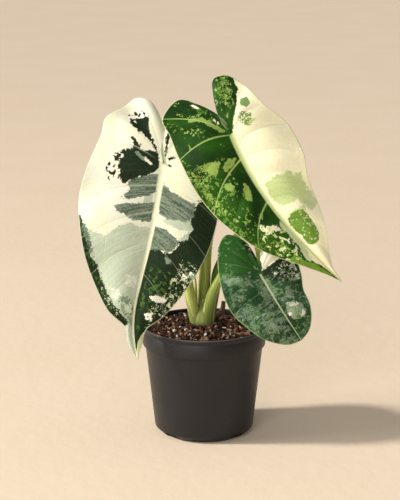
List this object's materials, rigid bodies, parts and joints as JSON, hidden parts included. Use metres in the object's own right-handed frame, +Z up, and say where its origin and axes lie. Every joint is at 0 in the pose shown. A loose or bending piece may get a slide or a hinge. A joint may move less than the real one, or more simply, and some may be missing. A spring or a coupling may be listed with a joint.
{
  "type": "potted alocasia",
  "caption": "Variegated alocasia with hanging velvet blades in cream, sage and deep green on arched stalks, in a black tapered nursery pot of bark mix",
  "frame": {"origin": "centre of the pot's flat underside, on the surface that the pot stands on", "axes": "+Z up, -Y towards the side that the blades face, +X to the viewer's right"},
  "size_m": [0.246, 0.1339, 0.3544],
  "materials": {
    "pot_plastic": "moulded, finely grained, dull black",
    "potting_mix": "damp composted bark with fibre and white perlite",
    "crown_skin": "rough brown skin of a short thick stem",
    "stalk_green": "fresh yellow-green stalk, satin, faintly streaked along its length",
    "dry_stalk": "dried brown, matt",
    "left_leaf": "velvety blade, ivory with sage and near-black green sectors, pale veins",
    "upper_leaf": "velvety blade, half green and half cream, pale veins",
    "small_leaf": "velvety deep green blade clouded with silver, one cream sector"
  },
  "bodies": {
    "root": {"pot": "pot_plastic", "soil": "potting_mix", "crown": "crown_skin", "petiole_left": "stalk_green", "petiole_upper": "stalk_green", "petiole_small": "stalk_green", "young_leaf": "stalk_green", "scale_leaf": "stalk_green", "old_stalk": "dry_stalk", "blade_left": "left_leaf", "blade_upper": "upper_leaf", "blade_small": "small_leaf"}
  },
  "joints": []
}
